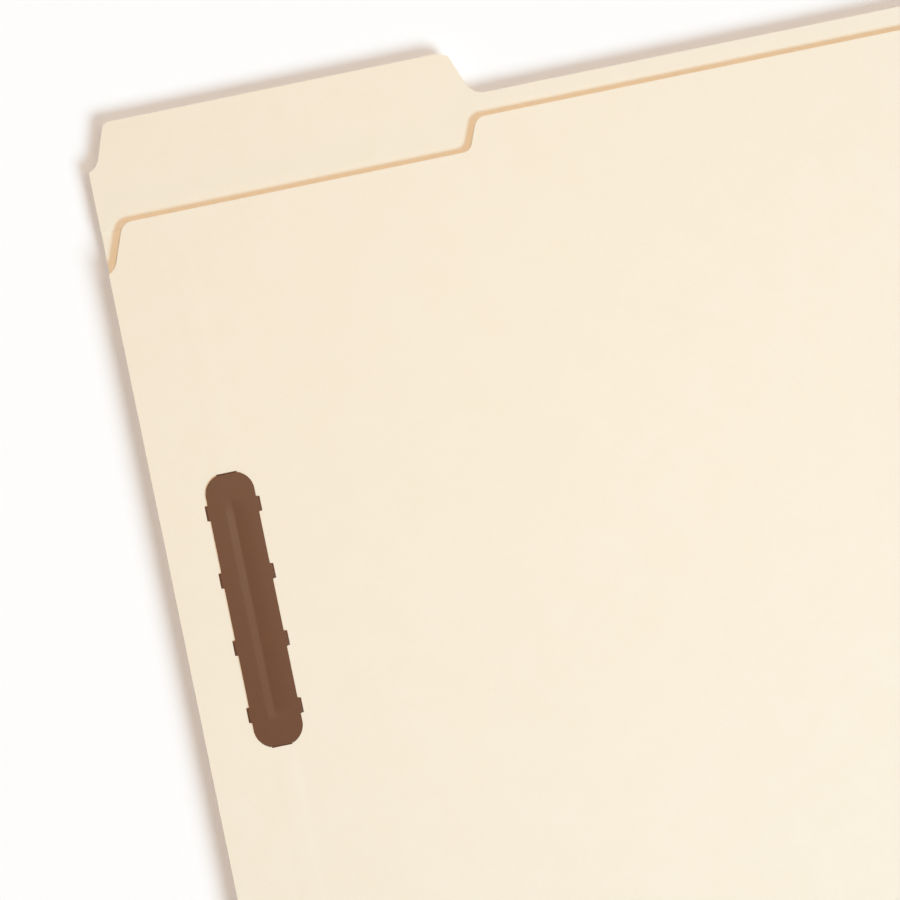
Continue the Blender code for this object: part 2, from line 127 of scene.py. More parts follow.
def linear(hex_colour: str) -> tuple[float, float, float, float]:
    """Turn an sRGB hex colour into Blender's linear colour.

    Args:
        hex_colour: Six hex digits, with or without a leading hash.

    Returns:
        Red, green, blue and an alpha of 1.
    """
    digits = hex_colour.lstrip("#")
    channels = []
    for start in (0, 2, 4):
        value = int(digits[start : start + 2], 16) / 255
        channels.append(value / 12.92 if value <= 0.04045 else ((value + 0.055) / 1.055) ** 2.4)
    return (*channels, 1.0)


def smoothstep(share: float) -> float:
    """Rise smoothly from 0 to 1 as the share does, and stay there beyond."""
    share = max(0.0, min(1.0, share))
    return share * share * (3 - 2 * share)


def add_node(
    tree: bpy.types.NodeTree, kind: str, inputs: dict | None = None, **settings: object
) -> bpy.types.Node:
    """Add a node to a tree with its settings, its constants and its links.

    Args:
        tree: The node tree that gets the node.
        kind: The node's type name, without the ShaderNode in front of it.
        inputs: For each input, by name or number, a constant or the output socket that feeds it.
        **settings: The node's own settings.

    Returns:
        The new node.
    """
    node = tree.nodes.new(f"ShaderNode{kind}")
    for name, value in settings.items():
        setattr(node, name, value)
    for name, value in (inputs or {}).items():
        if isinstance(value, bpy.types.NodeSocket):
            tree.links.new(value, node.inputs[name])
        else:
            node.inputs[name].default_value = value
    return node


def new_material(name: str) -> bpy.types.Material:
    """Make a material with an empty node tree.

    Args:
        name: The material's name.

    Returns:
        The material.
    """
    material = bpy.data.materials.new(name)
    material.use_nodes = True
    material.node_tree.nodes.clear()
    return material


def dress(piece: bpy.types.Object, material: bpy.types.Material) -> None:
    """Give a piece one material in place of whatever it has."""
    piece.data.materials.clear()
    piece.data.materials.append(material)


def choose(piece: bpy.types.Object) -> None:
    """Make a piece the active one and the only one selected.

    Args:
        piece: The piece.
    """
    bpy.ops.object.select_all(action="DESELECT")
    bpy.context.view_layer.objects.active = piece
    piece.select_set(True)


@contextmanager
def editing(piece: bpy.types.Object) -> Iterator[None]:
    """Hold one piece in edit mode, with nothing selected to begin with.

    Args:
        piece: The mesh object to edit.

    Yields:
        Nothing.
    """
    choose(piece)
    bpy.ops.object.mode_set(mode="EDIT")
    bpy.ops.mesh.select_all(action="DESELECT")
    yield
    bpy.ops.object.mode_set(mode="OBJECT")


def pick(kind: Element, wanted: Callable[[Vector, Vector], bool]) -> None:
    """Select the faces or vertices of the piece in edit mode that pass a test, and nothing else.

    Args:
        kind: What is selected.
        wanted: Says from an element's middle and normal whether it is selected.
    """
    bpy.ops.mesh.select_mode(type=kind.value)
    bpy.ops.mesh.select_all(action="DESELECT")
    mesh = bpy.context.object.data
    model = bmesh.from_edit_mesh(mesh)
    model.normal_update()
    if kind is Element.FACE:
        for face in model.faces:
            face.select_set(wanted(face.calc_center_median(), face.normal))
    else:
        for vertex in model.verts:
            vertex.select_set(wanted(vertex.co, vertex.normal))
    model.select_flush_mode()
    bmesh.update_edit_mesh(mesh)


def cut(place: Vector, normal: Vector, clear: bool = False, fill: bool = False) -> None:
    """Bisect the whole piece in edit mode.

    Args:
        place: A point on the plane.
        normal: The plane's normal.
        clear: Whether what lies on the normal's side is removed.
        fill: Whether the opening that is left gets a face.
    """
    bpy.ops.mesh.select_all(action="SELECT")
    bpy.ops.mesh.bisect(
        plane_co=place,
        plane_no=normal,
        clear_outer=clear,
        use_fill=fill,
        threshold=CUT_THRESHOLD,
    )


def trim(place: Vector, normal: Vector) -> None:
    """Cut off what lies on the normal's side of a plane, and close the opening with a face."""
    cut(place, normal, clear=True, fill=True)


def draw_out(way: Vector) -> None:
    """Extrude the selected faces or edges along a vector."""
    bpy.ops.mesh.extrude_region_move(TRANSFORM_OT_translate={"value": way})


def turn(angle: float, centre: Vector, axis: Vector, steps: int) -> None:
    """Bend what is selected round an axis, anticlockwise where the axis points at the viewer.

    Args:
        angle: The bend in radians.
        centre: A point on the axis.
        axis: The axis.
        steps: How many facets the bend has.
    """
    # The spin operator takes a clockwise angle
    bpy.ops.mesh.spin(steps=steps, angle=-angle, center=centre, axis=axis)


def narrow(share: Vector, centre: Vector) -> None:
    """Scale what is selected about a centre by a share along each axis."""
    bpy.ops.transform.resize(value=share, center_override=centre)


def apply_modifier(piece: bpy.types.Object, kind: str, **settings: object) -> None:
    """Add a modifier with its settings and apply it.

    Args:
        piece: The piece that gets it.
        kind: The modifier's type name.
        **settings: The modifier's own settings.
    """
    choose(piece)
    modifier = piece.modifiers.new(kind.title(), kind)
    for name, value in settings.items():
        setattr(modifier, name, value)
    bpy.ops.object.modifier_apply(modifier=modifier.name)


def soften(piece: bpy.types.Object, width: float) -> None:
    """Round a piece's sharp edges a little and shade it so that its flats stay flat.

    Args:
        piece: The piece, as a clean closed mesh.
        width: How far the rounding reaches from each edge.
    """
    apply_modifier(
        piece, "BEVEL", width=width, segments=2, limit_method="ANGLE", angle_limit=SHARP_ANGLE
    )
    smooth(piece)


def smooth(piece: bpy.types.Object) -> None:
    """Shade a piece smooth but for its sharp edges, its flat faces leading.

    Args:
        piece: The piece.
    """
    choose(piece)
    bpy.ops.object.shade_smooth_by_angle(angle=SMOOTH_ANGLE)
    apply_modifier(piece, "WEIGHTED_NORMAL", keep_sharp=True, weight=100)


def close_up(piece: bpy.types.Object) -> None:
    """Merge a piece's doubles and point all its faces outwards.

    Args:
        piece: The piece.
    """
    with editing(piece):
        bpy.ops.mesh.select_all(action="SELECT")
        bpy.ops.mesh.remove_doubles(threshold=MERGE_THRESHOLD)
        bpy.ops.mesh.select_all(action="SELECT")
        bpy.ops.mesh.normals_make_consistent(inside=False)


def settle(name: str) -> bpy.types.Object:
    """Name the new primitive and put its place, turn and size into its mesh.

    Args:
        name: The piece's name.

    Returns:
        The piece.
    """
    piece = bpy.context.object
    piece.name = name
    piece.data.name = name
    bpy.ops.object.transform_apply(location=True, rotation=True, scale=True)
    return piece


def add_block(name: str, middle: Vector, size: Vector) -> bpy.types.Object:
    """Add a block, or a flat sheet where its size along Z is 0.

    Args:
        name: The piece's name.
        middle: The middle of the block.
        size: Its whole size along each axis.

    Returns:
        The piece, at the origin.
    """
    bpy.ops.object.select_all(action="DESELECT")
    if size.z:
        bpy.ops.mesh.primitive_cube_add(size=1, location=middle)
    else:
        bpy.ops.mesh.primitive_plane_add(size=1, location=middle)
    bpy.context.object.scale = (size.x, size.y, size.z or 1)
    return settle(name)


def copy_of_node(node: str, name: str) -> bpy.types.Object:
    """Copy a CAD node as a piece of its own, with its loose triangles merged into whole faces.

    Args:
        node: The CAD node's name.
        name: The piece's name.

    Returns:
        The piece, which has no parent.
    """
    source = bpy.data.objects[node]
    piece = bpy.data.objects.new(name, source.data.copy())
    piece.data.name = name
    bpy.context.scene.collection.objects.link(piece)
    with editing(piece):
        bpy.ops.mesh.select_all(action="SELECT")
        bpy.ops.mesh.remove_doubles(threshold=MERGE_THRESHOLD)
        bpy.ops.mesh.customdata_custom_splitnormals_clear()
        bpy.ops.mesh.select_all(action="SELECT")
        bpy.ops.mesh.dissolve_limited(angle_limit=FLAT_ANGLE)
    return piece


@dataclass(frozen=True)
class Finish:
    """What the two finishes share: two close tones, a soft gloss and a faint relief."""

    dark: str
    light: str
    tone_swing: float
    roughness: float
    ior: float
    specular: float
    relief_height_mm: float
    relief_strength: float

    def tone(
        self, tree: bpy.types.NodeTree, coarse: bpy.types.NodeSocket, fine: bpy.types.NodeSocket
    ) -> bpy.types.NodeSocket:
        """Mix the dark and the light tone by two noises, each of them 0.5 on average.

        Args:
            tree: The material's node tree.
            coarse: The noise that makes the large clouds.
            fine: The noise that breaks them up.

        Returns:
            The mixed colour.
        """
        both = add_node(tree, "Math", {0: coarse, 1: fine}, operation="ADD").outputs["Value"]
        share = add_node(
            tree,
            "MapRange",
            {"Value": both, "From Min": 1 - self.tone_swing, "From Max": 1 + self.tone_swing},
        ).outputs["Result"]
        return add_node(
            tree,
            "Mix",
            {"Factor": share, MIX_A: linear(self.dark), MIX_B: linear(self.light)},
            data_type="RGBA",
        ).outputs[MIX_RESULT]

    def close(
        self,
        tree: bpy.types.NodeTree,
        colour: bpy.types.NodeSocket,
        relief: bpy.types.NodeSocket,
        roughness: bpy.types.NodeSocket | float,
    ) -> None:
        """Finish the material with its surface.

        Args:
            tree: The material's node tree.
            colour: What gives its colour.
            relief: What gives its relief, as a share of the relief's height.
            roughness: Its roughness, or what gives it.
        """
        height = self.relief_height_mm * MM
        bump = add_node(
            tree, "Bump", {"Height": relief, "Distance": height, "Strength": self.relief_strength}
        )
        shader = add_node(
            tree,
            "BsdfPrincipled",
            {
                "Base Color": colour,
                "Roughness": roughness,
                "IOR": self.ior,
                "Specular IOR Level": self.specular,
                "Normal": bump.outputs["Normal"],
            },
        )
        add_node(tree, "OutputMaterial", {"Surface": shader.outputs["BSDF"]})


@dataclass(frozen=True)
class ManilaBoard(Finish):
    """Finish of manila board: a heavy paper of pale unbleached pulp, calendered but not coated.

    To the eye it is matt and warm cream. Looked at closely it has soft clouds where the pulp lies
    thicker, fine fibres that run mostly with the grain, a few darker fibres, and a faint tooth.
    Real fibres are about 0.03 mm wide, so they, the flecks and the tooth are drawn coarser to show.
    """

    dark: str = "#F9EFDF"
    light: str = "#FAF1E3"
    fleck: str = "#F1E4CC"
    tone_swing: float = 0.25
    roughness: float = 0.68
    ior: float = 1.45
    specular: float = 0.3
    relief_height_mm: float = 0.006
    relief_strength: float = 0.6
    cloud_mm: float = 9.0
    fibre_length_mm: float = 1.7
    fibre_width_mm: float = 0.28
    fleck_mm: float = 0.45
    tooth_mm: float = 0.22
    fleck_start: float = 0.66
    fleck_full: float = 0.8
    fleck_share: float = 0.6

    def material(self) -> bpy.types.Material:
        """Build the board's material on Object coordinates, with the grain along X.

        Returns:
            The material.
        """
        material = new_material("manila_board_calendered")
        tree = material.node_tree
        place = add_node(tree, "TexCoord").outputs["Object"]
        squeeze = (self.fibre_width_mm / self.fibre_length_mm, 1.0, 1.0)
        grain = add_node(tree, "Mapping", {"Vector": place, "Scale": squeeze}).outputs["Vector"]
        clouds, fibres, flecks, tooth = (
            add_node(
                tree,
                "TexNoise",
                {"Vector": vector, "Scale": 1 / (size * MM), "Detail": detail, "Roughness": rough},
            ).outputs["Fac"]
            for vector, size, detail, rough in (
                (place, self.cloud_mm, 3.0, 0.55),
                (grain, self.fibre_width_mm, 2.0, 0.6),
                (place, self.fleck_mm, 1.0, 0.5),
                (place, self.tooth_mm, 2.0, 0.5),
            )
        )
        flecked = add_node(
            tree,
            "MapRange",
            {
                "Value": flecks,
                "From Min": self.fleck_start,
                "From Max": self.fleck_full,
                "To Max": self.fleck_share,
            },
        ).outputs["Result"]
        pulp = self.tone(tree, clouds, fibres)
        colour = add_node(
            tree,
            "Mix",
            {"Factor": flecked, MIX_A: pulp, MIX_B: linear(self.fleck)},
            data_type="RGBA",
        ).outputs[MIX_RESULT]
        relief = add_node(tree, "Math", {0: tooth, 1: fibres}, operation="ADD").outputs["Value"]
        self.close(tree, colour, relief, self.roughness)
        return material


@dataclass(frozen=True)
class BakedEnamel(Finish):
    """Finish of the fastener: spring steel strip, roll coated with brown baked enamel, then stamped.

    To the eye it is a satin chocolate brown with a fine orange peel, and a slight mottle of darker
    places where the coat lies thicker.
    """

    dark: str = "#5F3A25"
    light: str = "#663F29"
    tone_swing: float = 0.3
    roughness: float = 0.42
    roughness_swing: float = 0.05
    ior: float = 1.5
    specular: float = 0.22
    relief_height_mm: float = 0.008
    relief_strength: float = 0.5
    mottle_mm: float = 3.5
    speckle_mm: float = 0.35
    peel_mm: float = 0.5

    def material(self) -> bpy.types.Material:
        """Build the enamel's material on Object coordinates.

        Returns:
            The material.
        """
        material = new_material("brown_baked_enamel")
        tree = material.node_tree
        place = add_node(tree, "TexCoord").outputs["Object"]
        mottle, speckle, peel = (
            add_node(
                tree, "TexNoise", {"Vector": place, "Scale": 1 / (size * MM), "Detail": detail}
            ).outputs["Fac"]
            for size, detail in ((self.mottle_mm, 3.0), (self.speckle_mm, 2.0), (self.peel_mm, 1.0))
        )
        roughness = add_node(
            tree,
            "MapRange",
            {
                "Value": mottle,
                "To Min": self.roughness - self.roughness_swing,
                "To Max": self.roughness + self.roughness_swing,
            },
        ).outputs["Result"]
        self.close(tree, self.tone(tree, mottle, speckle), peel, roughness)
        return material


@dataclass(frozen=True)
class Slit:
    """One slit that a barb or a prong passes through: its middle and its half sizes."""

    middle: Vector
    cut: Vector
    tight: Vector


@dataclass
class BoardSheet:
    """The folder's one sheet of board: two panels, two strips and the three creases between them."""

    board: bpy.types.Material
    slits: dict[Side, list[Slit]]
    crease_reach: float = 0.35 * MM
    score_reach: float = 0.5 * MM
    corner_inner_radius: float = 0.06 * MM
    corner_reach: float = 0.45 * MM
    crease_steps: int = 10
    edge_margin: float = 0.03 * MM
    ply_taper: float = 0.5 * MM
    ridge_height: float = 0.06 * MM
    ridge_half_width: float = 1.2 * MM
    ridge_flank: float = 2.6 * MM
    ridge_end_run: float = 5.0 * MM
    ridge_steps: int = 5

    def __post_init__(self) -> None:
        """Read the sheet's lines from the CAD nodes."""
        fold_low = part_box("bottom_fold")[0]
        front_low, front_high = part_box("front_panel")
        self.width = front_high.x - front_low.x
        self.thickness = front_high.z - front_low.z
        self.fold = fold_low.y
        self.crease_level = (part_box("back_panel")[1].z + fold_low.z) / 2
        self.front_inner = front_low.z
        self.score = (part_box("expansion_gusset")[1].y + front_low.y) / 2
        self.middle_x = front_low.x + self.width / 2

    def keep(self, piece: bpy.types.Object, body: str | None, *nodes: str) -> None:
        """Dress a finished piece, put it on its body and let it stand for its CAD nodes.

        Args:
            piece: The finished piece.
            body: The CAD body that it rides on, or None for a crease, which rides on none.
            *nodes: The CAD nodes that it replaces.
        """
        dress(piece, self.board)
        if body:
            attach(piece, body)
        if nodes:
            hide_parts(*nodes)
        log.info("%s: %d faces", piece.name, len(piece.data.polygons))

    def add_back(self) -> None:
        """Back panel with its turned-up lip, trimmed where the bottom crease begins."""
        piece = copy_of_node("back_panel", "back_sheet")
        with editing(piece):
            trim((self.crease_level - self.crease_reach) * ALONG_Z, ALONG_Z)
            self.close_slits(Side.BACK)
        smooth(piece)
        self.keep(piece, "back_panel", "back_panel")

    def close_slits(self, side: Side) -> None:
        """Draw the board in round the barbs and prongs, which press their way through it.

        Args:
            side: Which panel is in edit mode.
        """
        for slit in self.slits[side]:
            reach = slit.cut + Vector((self.edge_margin, self.edge_margin, 0))
            pick(
                Element.VERTEX,
                lambda place, normal: abs(place.x - slit.middle.x) < reach.x
                and abs(place.y - slit.middle.y) < reach.y,
            )
            share = Vector((slit.tight.x / slit.cut.x, slit.tight.y / slit.cut.y, 1))
            narrow(share, slit.middle)

    def add_ply(self) -> None:
        """Second ply of the tab, glued down flat on the back panel, with its lower edge pressed thin."""
        piece = copy_of_node("tab_reinforcement", "tab_ply")
        low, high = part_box("tab_reinforcement")
        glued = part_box("back_panel")[0].z + self.thickness
        for vertex in piece.data.vertices:
            if vertex.co.z < (low.z + high.z) / 2:
                vertex.co.z = glued
            elif vertex.co.y < low.y + self.edge_margin:
                vertex.co.y += self.ply_taper
        smooth(piece)
        self.keep(piece, "back_panel", "tab_reinforcement")

    def add_fold_strip(self) -> None:
        """Upper half of the bottom fold, between its crease and the gusset's."""
        piece = copy_of_node("bottom_fold", "fold_strip")
        with editing(piece):
            trim((self.crease_level + self.crease_reach) * ALONG_Z, -ALONG_Z)
            trim((self.front_inner - self.corner_reach) * ALONG_Z, ALONG_Z)
        smooth(piece)
        self.keep(piece, "bottom_fold", "bottom_fold")

    def add_gusset(self) -> None:
        """Scored gusset, trimmed where the creases at its two edges begin."""
        piece = copy_of_node("expansion_gusset", "gusset_sheet")
        with editing(piece):
            trim((self.fold + self.thickness + self.corner_reach) * ALONG_Y, -ALONG_Y)
            trim((self.score - self.score_reach) * ALONG_Y, ALONG_Y)
        smooth(piece)
        self.keep(piece, "expansion_gusset", "expansion_gusset")

    def add_front(self) -> None:
        """Front panel, trimmed at the last score, with the prongs' print showing through it."""
        piece = copy_of_node("front_panel", "front_sheet")
        with editing(piece):
            trim((self.score + self.score_reach) * ALONG_Y, -ALONG_Y)
            self.close_slits(Side.FRONT)
        self.raise_prong_print(piece)
        smooth(piece)
        self.keep(piece, "front_panel", "front_panel")

    def raise_prong_print(self, piece: bpy.types.Object) -> None:
        """Cut a fine grid over the lines of the prongs that lie behind, and push their print out.

        The print fades at the prongs' sides, at their tips and at the plate.

        Args:
            piece: The front panel's piece.
        """
        low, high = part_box("front_fastener")
        bar_low, bar_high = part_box("front_compressor")
        middle = (low + high) / 2
        tips = (high.y - low.y) / 2
        plate_end = (bar_high.y - bar_low.y) / 2 - StampedFastener.bar_overhang
        edge = self.ridge_half_width + self.ridge_flank
        steps = self.ridge_steps
        with editing(piece):
            for side in (-1, 1):
                for step in range(steps + 1):
                    across = edge - self.ridge_flank * step / steps
                    cut((middle.x + side * across) * ALONG_X, ALONG_X)
                    for run in (plate_end, tips - self.ridge_end_run):
                        along = run + self.ridge_end_run * step / steps
                        cut((middle.y + side * along) * ALONG_Y, ALONG_Y)
        for vertex in piece.data.vertices:
            across = abs(vertex.co.x - middle.x) - self.ridge_half_width
            along = abs(vertex.co.y - middle.y)
            side_fade = 1 - smoothstep(across / self.ridge_flank)
            plate_fade = smoothstep((along - plate_end) / self.ridge_end_run)
            tip_fade = smoothstep((tips - along) / self.ridge_end_run)
            vertex.co.z += self.ridge_height * side_fade * plate_fade * tip_fade

    def add_crease(self, name: str, middle: Vector, run: Vector) -> None:
        """Add a crease that is straight while the folder is closed, sliced across into even strips.

        Args:
            name: The piece's name.
            middle: The crease's middle.
            run: The way across it from the one body to the other.
        """
        size = Vector((self.width, run.y or self.thickness, run.z or self.thickness))
        piece = add_block(name, middle, size)
        start = middle - run / 2
        with editing(piece):
            for step in range(1, self.crease_steps):
                cut(start + run * step / self.crease_steps, run.normalized())
        smooth(piece)
        self.keep(piece, None)
        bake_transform(piece)

    def add_bottom_crease(self) -> None:
        """Crease in the middle of the fold, on which the cover opens."""
        middle = Vector((self.middle_x, self.fold + self.thickness / 2, self.crease_level))
        run = 2 * self.crease_reach * ALONG_Z
        self.add_crease("bottom_crease", middle, run)

    def add_front_score(self) -> None:
        """Pressed score line between the gusset and the front panel."""
        middle = Vector((self.middle_x, self.score, self.front_inner + self.thickness / 2))
        run = 2 * self.score_reach * ALONG_Y
        self.add_crease("front_score", middle, run)

    def add_gusset_crease(self) -> None:
        """Corner where the fold turns into the gusset, bent from a short piece of the fold strip."""
        straight = self.corner_reach - self.corner_inner_radius
        low = self.front_inner - self.corner_reach
        middle = Vector((self.middle_x, self.fold + self.thickness / 2, low + straight / 2))
        piece = add_block("gusset_crease", middle, Vector((self.width, self.thickness, straight)))
        inner = self.fold + self.thickness + self.corner_inner_radius
        centre = Vector((self.middle_x, inner, self.front_inner - self.corner_inner_radius))
        with editing(piece):
            pick(Element.FACE, lambda middle, normal: normal.z > FACING)
            turn(-QUARTER, centre, ALONG_X, self.crease_steps)
            draw_out(straight * ALONG_Y)
        close_up(piece)
        smooth(piece)
        self.keep(piece, None)
        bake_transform(piece)

    def build(self) -> None:
        """Make the whole sheet and dress the second ply of the tab."""
        self.add_back()
        self.add_bottom_crease()
        self.add_fold_strip()
        self.add_gusset_crease()
        self.add_gusset()
        self.add_front_score()
        self.add_front()
        self.add_ply()


@dataclass
class StampedFastener:
    """One side's fastener set: the stamping, its compressor bar and the two keepers.

    Each piece is modelled about the fastener's middle, with Z = 0 on the board's inner face and +Z
    towards the papers, and is then turned and moved to its side of the folder.
    """

    side: Side
    enamel: bpy.types.Material
    sheet: float = 0.35 * MM
    bend: float = 0.30 * MM
    seat: float = 0.05 * MM
    plate_half_width: float = 6.225 * MM
    plate_end_radius: float = 5.2 * MM
    prong_half_width: float = 2.6 * MM
    prong_relief: float = 0.12 * MM
    prong_tip: float = 8.0 * MM
    prong_tip_turn: float = math.radians(79)
    prong_slope: float = 2.4 * MM
    hole_gap: float = 0.10 * MM
    tight_gap: float = 0.015 * MM
    channel_middle: float = 0.15 * MM
    channel_steep: float = 1.8 * MM
    channel_gentle: float = 4.75 * MM
    channel_depth: float = 0.14 * MM
    channel_fade: float = 1.6
    channel_from_end: float = 6.3 * MM
    channel_run: float = 3.8 * MM
    channel_run_steps: int = 4
    steep_rulings: tuple[float, ...] = (0.12, 0.92, 1.08)
    gentle_rulings: tuple[float, ...] = (0.0, 0.05, 0.15, 0.3, 0.45, 0.6, 0.8)
    barb_pairs: int = 4
    barb_from_bend: float = 9.2 * MM
    barb_half_length: float = 2.0 * MM
    barb_shoulder: float = 0.12 * MM
    barb_tip_half_length: float = 0.7 * MM
    barb_clinch: float = 1.85 * MM
    bar_sheet: float = 0.30 * MM
    bar_half_base: float = 3.2 * MM
    bar_web_run: float = 0.3 * MM
    bar_corner_radius: float = 2.4 * MM
    keeper_hook: float = 0.95 * MM
    keeper_bend: float = 0.25 * MM
    rim_steps: int = 72
    bend_steps: int = 6
    tip_steps: int = 8
    corner_steps: int = 6
    edge_round: float = 0.05 * MM
    bar_overhang: float = 7.85 * MM

    def __post_init__(self) -> None:
        """Read this side's places from its CAD nodes."""
        low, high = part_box(f"{self.side.value}_fastener")
        bar_low, bar_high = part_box(f"{self.side.value}_compressor")
        front_low, front_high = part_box("front_panel")
        board = front_high.z - front_low.z
        self.reach = (high.y - low.y) / 2
        self.half_over_barbs = (high.x - low.x) / 2
        self.plate_level = -(board + self.seat + self.sheet / 2)
        self.plate_outer = self.plate_level - self.sheet / 2
        outer, toward = (high.z, -1) if self.side.turned_over else (low.z, 1)
        inner_face = outer - toward * self.plate_outer
        self.middle = Vector(((low.x + high.x) / 2, (low.y + high.y) / 2, inner_face))
        self.bar_half_length = (bar_high.y - bar_low.y) / 2
        self.bar_half_width = (bar_high.x - bar_low.x) / 2
        self.plate_half_length = self.bar_half_length - self.bar_overhang
        self.prong_bend = self.plate_half_length - self.sheet / 2
        self.prong_tangent = self.prong_bend - self.bend
        self.clinch_level = self.seat + self.sheet / 2
        self.bar_level = self.seat + self.bar_sheet / 2
        self.over_bar_level = self.bar_level + self.bar_sheet / 2 + self.seat + self.sheet / 2
        self.hook_level = self.seat + self.bar_sheet / 2
        self.flange_level = self.hook_level + self.seat + self.bar_sheet
        self.keeper_level = self.flange_level + self.seat + self.bar_sheet

    def place(self, piece: bpy.types.Object, body: str, node: str) -> None:
        """Turn and move a finished piece to its side, and let it stand for its CAD node.

        Args:
            piece: The piece, modelled about the fastener's middle.
            body: The CAD body that it rides on.
            node: The CAD node that it replaces.
        """
        half_turn = Matrix.Rotation(math.pi if self.side.turned_over else 0.0, 4, "Y")
        piece.data.transform(Matrix.Translation(self.middle) @ half_turn)
        dress(piece, self.enamel)
        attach(piece, body)
        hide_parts(node)
        log.info("%s: %d faces", piece.name, len(piece.data.polygons))

    def add_stamping(self) -> None:
        """Plate, barbs and prongs: a flat blank that is thickened and then drawn as the press does."""
        half_step = math.pi / self.rim_steps
        bpy.ops.object.select_all(action="DESELECT")
        bpy.ops.mesh.primitive_circle_add(
            vertices=self.rim_steps,
            radius=self.plate_end_radius / math.cos(half_step),
            fill_type="NGON",
            location=(0, 0, self.plate_outer),
            rotation=(0, 0, half_step),
        )
        piece = settle(f"{self.side.value}_stamping")
        with editing(piece):
            self.cut_blank()
            bpy.ops.mesh.select_all(action="SELECT")
            draw_out(self.sheet * ALONG_Z)
            self.rule_channel()
            for end in (1, -1):
                self.draw_prong(end)
            for side in (1, -1):
                for middle in self.barb_middles:
                    self.draw_barb(side, middle)
        self.press_channel(piece)
        close_up(piece)
        soften(piece, self.edge_round)
        self.place(piece, self.side.panel, f"{self.side.value}_fastener")

    @property
    def barb_middles(self) -> list[float]:
        """Where the barbs stand along the plate.

        Returns:
            Each pair's place, from the plate's middle.
        """
        reach = self.plate_half_length - self.barb_from_bend
        pitch = 2 * reach / (self.barb_pairs - 1)
        return [pair * pitch - reach for pair in range(self.barb_pairs)]

    @property
    def slits(self) -> list[Slit]:
        """The slits in this side's panel, as CAD cuts them and as the board closes round them.

        Returns:
            The slits of the prongs and the barbs.
        """
        wall = self.sheet / 2
        neck = self.barb_half_length - self.barb_shoulder
        cut_room = Vector((self.hole_gap, self.hole_gap, 0))
        tight_room = Vector((self.tight_gap, self.tight_gap, 0))
        slits = []
        for side in (1, -1):
            prong = Vector((self.prong_half_width, wall, 0))
            place = self.middle + side * self.prong_bend * ALONG_Y
            slits.append(Slit(place, prong + cut_room, prong + tight_room))
            for along in self.barb_middles:
                place = self.middle + Vector((side * (self.half_over_barbs - wall), along, 0))
                barb = Vector((wall, self.barb_half_length, 0))
                slits.append(Slit(place, barb + cut_room, Vector((wall, neck, 0)) + tight_room))
        return slits

    def cut_blank(self) -> None:
        """Pull the disc apart into a plate with round ends, and cut the ends back for the prongs."""
        ahead = self.plate_half_length - self.plate_end_radius
        aside = self.plate_half_width - self.plate_end_radius
        for way in (1, -1):
            pick(Element.VERTEX, lambda place, normal: place.y * way > 0)
            bpy.ops.transform.translate(value=(0, way * ahead, 0))
            pick(Element.VERTEX, lambda place, normal: place.x * way > 0)
            bpy.ops.transform.translate(value=(way * aside, 0, 0))
        relief = self.prong_half_width + self.prong_relief
        for side in (1, -1):
            for across in (self.prong_half_width, relief):
                cut(side * across * ALONG_X, ALONG_X)
            cut(side * self.prong_tangent * ALONG_Y, ALONG_Y)
            for middle in self.barb_middles:
                cut((middle + side * self.barb_half_length) * ALONG_Y, ALONG_Y)
        pick(
            Element.FACE,
            lambda middle, normal: abs(middle.x) < relief and abs(middle.y) > self.prong_tangent,
        )
        bpy.ops.mesh.delete(type="FACE")

    def rule_channel(self) -> None:
        """Cut the lines of the channel's two flanks and its run-outs into the plate's outer face."""
        whole = self.plate_half_length
        end = whole - self.channel_from_end
        self.rule(ALONG_X, self.channel_middle - self.channel_gentle, whole)
        for side in (1, -1):
            for step in range(self.channel_run_steps + 1):
                along = side * (end - self.channel_run * step / self.channel_run_steps)
                self.rule(ALONG_Y, along, whole)
        for width, shares in (
            (self.channel_steep, self.steep_rulings),
            (-self.channel_gentle, self.gentle_rulings),
        ):
            for share in shares:
                self.rule(ALONG_X, self.channel_middle + share * width, end)

    def rule(self, axis: Vector, place: float, reach: float) -> None:
        """Cut one line into the part of the plate's outer face that the channel is pressed in.

        Args:
            axis: The direction across the line.
            place: Where the line lies on that axis.
            reach: How far from the plate's middle the faces that are cut may lie.
        """
        pick(
            Element.FACE,
            lambda middle, normal: middle.z < self.plate_outer + CUT_THRESHOLD
            and -self.channel_gentle < middle.x - self.channel_middle
            and middle.x < self.prong_half_width
            and abs(middle.y) < reach,
        )
        bpy.ops.mesh.bisect(plane_co=place * axis, plane_no=axis, threshold=CUT_THRESHOLD)

    def press_channel(self, piece: bpy.types.Object) -> None:
        """Press the shallow channel into the outer face, one flank steep and the other fading out.

        Args:
            piece: The stamping.
        """
        end = self.plate_half_length - self.channel_from_end
        for vertex in piece.data.vertices:
            if vertex.co.z > self.plate_outer + CUT_THRESHOLD:
                continue
            across = vertex.co.x - self.channel_middle
            if across > 0:
                flank = max(0.0, 1 - across / self.channel_steep)
            else:
                flank = max(0.0, 1 + across / self.channel_gentle) ** self.channel_fade
            run_out = smoothstep((end - abs(vertex.co.y)) / self.channel_run)
            vertex.co.z += self.channel_depth * flank * run_out

